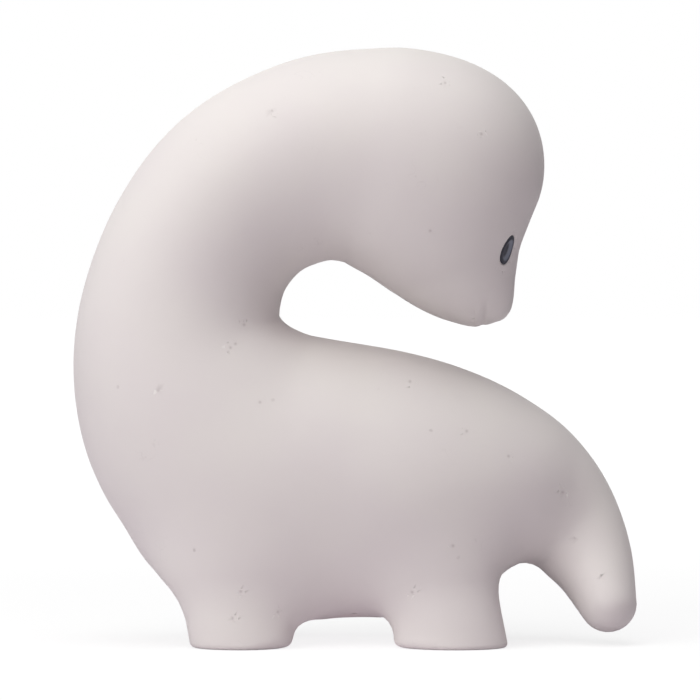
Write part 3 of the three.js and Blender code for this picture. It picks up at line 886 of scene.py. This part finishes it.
def capsuleMesh(isCup):
    outside = (cupHigh[2] - cupLow[2]) / 2
    reach = (cupHigh[0] - capLow[0]) / 2
    gap, spigot = capsuleForm["gap"], capsuleForm["spigot"]
    inside = outside - capsuleForm["wall"]
    step = outside - capsuleForm["wall"] / 2 - gap / 2
    if isCup:
        rim = [(outside, gap / 2), (step, gap / 2), (step, -spigot), (inside, -spigot)]
    else:
        step, depth = step + gap, spigot + gap
        rim = [(outside, -gap / 2), (step, -gap / 2), (step, depth), (inside, depth)]
    ends, profile = halfProfile(rim, outside, reach)
    middle = np.array([(cupHigh[0] + capLow[0]) / 2, 0, (cupHigh[2] + cupLow[2]) / 2])
    way = 1 if isCup else -1
    turn = 2 * np.pi * np.arange(capsuleForm["sides"]) / capsuleForm["sides"]
    rings = []
    for radius, along in profile:
        across, up = radius * np.cos(turn), way * radius * np.sin(turn)
        rings.append(np.stack([0 * turn + way * along, across, up], 1))
    tips = [np.array([[way * end[1], 0, 0]]) for end in ends]
    faces = [face[::-1] for face in turnedFaces(len(rings), capsuleForm["sides"])]
    return middle + np.vstack([tips[0], *rings, tips[1]]), faces


capsuleLook = dict(
    milk=colour(226, 229, 231),
    shade=colour(206, 211, 215),
    roughness=0.34,
    flowScale=60.0,
    scuffScale=700.0,
    scuffFrom=(0.56, 0.7),
    scuffRoughness=0.25,
)


def capsuleFinish(name, look):  # milky plastic with flow lines from the gate and scuffs from the beads
    material, finish = newMaterial(name)
    place = finish.node("ShaderNodeTexCoord", output="Object")
    flow = finish.node("ShaderNodeTexWave", dict(bands_direction="X"), {
        "Vector": place,
        "Scale": look["flowScale"],
        "Distortion": 6.0,
        "Detail": 2.0,
    }, "Fac")
    scuff = finish.fade(finish.noise(place, look["scuffScale"], 4.0), *look["scuffFrom"])
    bump = finish.node("ShaderNodeBump", None, {
        "Strength": 0.15,
        "Distance": 0.0001,
        "Height": flow * 0.2 - scuff,
    })
    shader = finish.node("ShaderNodeBsdfPrincipled", None, {
        "Base Color": finish.mixColour(flow * 0.5 + scuff * 0.4, look["milk"], look["shade"]),
        "Roughness": scuff * look["scuffRoughness"] + look["roughness"],
        "Normal": bump,
    })
    finish.node("ShaderNodeOutputMaterial", None, {"Surface": shader})
    return material


capsulePlastic = capsuleFinish("capsulePlastic", capsuleLook)
for name, node, isCup in (("capsuleCup", "rattle_cup", True), ("capsuleCap", "rattle_cap", False)):
    addPiece(name, *capsuleMesh(isCup), capsulePlastic, "rattle", node, "capsule_plastic")
print("capsule done")


# beads, with the fine ridge where the two mould halves met
beadForm = dict(
    count=8, ridge=0.05, ridgeWidth=0.09, sides=40, rings=26,
    tumble=0.9, tumbleSide=0.4, tumbleUp=0.7,
)


def beadMesh(number):
    low, high = nodeBox(f"rattle_bead_{number}")
    radius = (high - low).min() / 2
    angles = np.pi * np.arange(1, beadForm["rings"] + 1) / (beadForm["rings"] + 1)
    turn = 2 * np.pi * np.arange(beadForm["sides"]) / beadForm["sides"]
    plain = radius - beadForm["ridge"]
    rings = []
    for angle in angles:
        swell = beadForm["ridge"] * math.exp(-(((angle - math.pi / 2) / beadForm["ridgeWidth"]) ** 2))
        across, height = (plain + swell) * math.sin(angle), -(plain + swell) * math.cos(angle)
        rings.append(np.stack([across * np.cos(turn), across * np.sin(turn), 0 * turn + height], 1))
    points = np.vstack([[[0, 0, -plain]], *rings, [[0, 0, plain]]])
    axis = Vector((1, beadForm["tumbleSide"] * number, beadForm["tumbleUp"]))  # each lies its own way
    tumbled = np.array(Matrix.Rotation(beadForm["tumble"] * number, 3, axis))
    return points @ tumbled.T + (low + high) / 2, turnedFaces(len(rings), beadForm["sides"])


beadLook = dict(
    honey=colour(212, 178, 112),
    amber=colour(190, 150, 82),
    roughness=0.24,
    swirlScale=420.0,
    wornScale=1600.0,
    wornFrom=(0.58, 0.72),
    wornRoughness=0.25,
)


def beadFinish(name, look):  # glossy plastic with a swirl of two shades
    material, finish = newMaterial(name)
    place = finish.node("ShaderNodeTexCoord", output="Object")
    swirl = finish.noise(place, look["swirlScale"], 4.0)
    worn = finish.fade(finish.noise(place, look["wornScale"]), *look["wornFrom"])
    bump = finish.node("ShaderNodeBump", None, {
        "Strength": 0.1,
        "Distance": 0.00005,
        "Height": 1 - worn,
    })
    shader = finish.node("ShaderNodeBsdfPrincipled", None, {
        "Base Color": finish.mixColour(finish.fade(swirl, 0.35, 0.65), look["honey"], look["amber"]),
        "Roughness": worn * look["wornRoughness"] + look["roughness"],
        "Normal": bump,
    })
    finish.node("ShaderNodeOutputMaterial", None, {"Surface": shader})
    return material


beadPlastic = beadFinish("beadPlastic", beadLook)
for number in range(1, beadForm["count"] + 1):
    node = f"rattle_bead_{number}"
    addPiece(f"bead{number}", *beadMesh(number), beadPlastic, f"bead_{number}", node, "bead_plastic")
print("beads done")

# stage, lamps and camera
stageLook = dict(
    bounce=(0.77, 0.72, 0.77, 1.0),  # what the floor sends back to the object
    under=(1.0, 0.9, 1.0, 1.0),  # painted light: a faint glow on the floor below the belly, which lights it as the bounce of a studio table would
    underStrength=0.16,
    underNear=0.01,
    underFar=0.032,
    lift=0.78,  # share of plain white in the floor that the camera sees, so that shadows stay soft
    glow=1.04,
    nearFloor=0.1,
    farFloor=0.4,  # beyond this the floor is plain white
    floorHalf=6.0,
    ambient=(0.95, 0.9, 1.0, 1.0),
    ambientStrength=0.02,
)


def addFloor():
    far = stageLook["floorHalf"]
    mesh = bpy.data.meshes.new("floor")
    corners = [(-far, -far, 0), (far, -far, 0), (far, far, 0), (-far, far, 0)]
    mesh.from_pydata(corners, [], [(0, 1, 2, 3)])
    material, finish = newMaterial("floorPaint")
    seen = finish.node("ShaderNodeLightPath", output="Is Camera Ray")
    place = finish.node("ShaderNodeTexCoord", output="Object")
    away = finish.node("ShaderNodeVectorMath", dict(operation="LENGTH"), {0: place}, "Value")
    fade = finish.fade(away, stageLook["nearFloor"], stageLook["farFloor"], stageLook["lift"], 1.0)
    tint = finish.mixColour(seen, stageLook["bounce"], (1, 1, 1, 1))
    paint = finish.node("ShaderNodeBsdfDiffuse", None, {"Color": tint})
    # painted light: the floor glows below the belly and lights the object's underside
    near = finish.fade(away, stageLook["underNear"], stageLook["underFar"], 1.0, 0.0)
    under = finish.node("ShaderNodeEmission", None, {
        "Color": finish.mixColour(near, (0, 0, 0, 1), stageLook["under"]),
        "Strength": stageLook["underStrength"],
    })
    paint = finish.node("ShaderNodeAddShader", None, {0: paint, 1: under})
    glow = finish.node("ShaderNodeEmission", None, {
        "Color": (1, 1, 1, 1),
        "Strength": stageLook["glow"],
    })
    mixed = finish.node("ShaderNodeMixShader", None, {0: seen * fade, 1: paint, 2: glow})
    finish.node("ShaderNodeOutputMaterial", None, {"Surface": mixed})
    mesh.materials.append(material)
    floor = bpy.data.objects.new("floor", mesh)
    bpy.context.scene.collection.objects.link(floor)


def addWorld():
    world = bpy.data.worlds.new("studio")
    bpy.context.scene.world = world
    finish = Finish(world)
    camera, glossy, through = (
        finish.node("ShaderNodeLightPath", output=ray)
        for ray in ("Is Camera Ray", "Is Glossy Ray", "Is Transmission Ray")
    )
    room = finish.node("ShaderNodeBackground", None, {
        "Color": stageLook["ambient"],
        "Strength": stageLook["ambientStrength"],
    })
    white = finish.node("ShaderNodeBackground", None, {"Color": (1, 1, 1, 1), "Strength": 1.0})
    seen = (camera + glossy + through).atMost(1)
    mixed = finish.node("ShaderNodeMixShader", None, {0: seen, 1: room, 2: white})
    finish.node("ShaderNodeOutputWorld", None, {"Surface": mixed})


lampForm = dict(
    aim=(0, 0, 0.055),
    away=1.3,
    size=0.9,
    lamps=dict(  # the side that each shines from, its watts and its colour
        side=((-1.0, 0.0, 0.25), 2.7, (0.92, 0.86, 1.0)),
        key=((-0.58, -0.58, 0.53), 7.1, (0.98, 1.0, 0.96)),
        top=((-0.02, -0.08, 1.0), 10.0, (0.98, 1.0, 0.99)),
        front=((0.0, -0.8, 0.8), 4.1, (1.0, 0.88, 0.94)),
    ),
)


def addLamp(name, side, watts, tint):
    data = bpy.data.lights.new(name, "AREA")
    data.size = lampForm["size"]
    data.energy = watts
    data.color = tint
    lamp = bpy.data.objects.new(name, data)
    outward = Vector(side).normalized()
    lamp.location = Vector(lampForm["aim"]) + lampForm["away"] * outward
    lamp.rotation_mode = "QUATERNION"
    lamp.rotation_quaternion = (-outward).to_track_quat("-Z", "Y")
    bpy.context.scene.collection.objects.link(lamp)


viewForm = dict(at=(-0.00074, -0.85, 0.068), towards=(-0.00074, 0, 0.054), frameWidth=0.1295)


def addCamera():
    data = bpy.data.cameras.new("camera")
    camera = bpy.data.objects.new("camera", data)
    camera.location = viewForm["at"]
    aim = Vector(viewForm["towards"]) - camera.location
    data.lens = data.sensor_width * aim.length / viewForm["frameWidth"]
    camera.rotation_mode = "QUATERNION"
    camera.rotation_quaternion = aim.to_track_quat("-Z", "Y")
    bpy.context.scene.collection.objects.link(camera)
    bpy.context.scene.camera = camera


addFloor()
addWorld()
for name, (side, watts, tint) in lampForm["lamps"].items():
    addLamp(name, side, watts, tint)
addCamera()
bpy.context.scene.view_settings.view_transform = "Standard"
print("stage done")
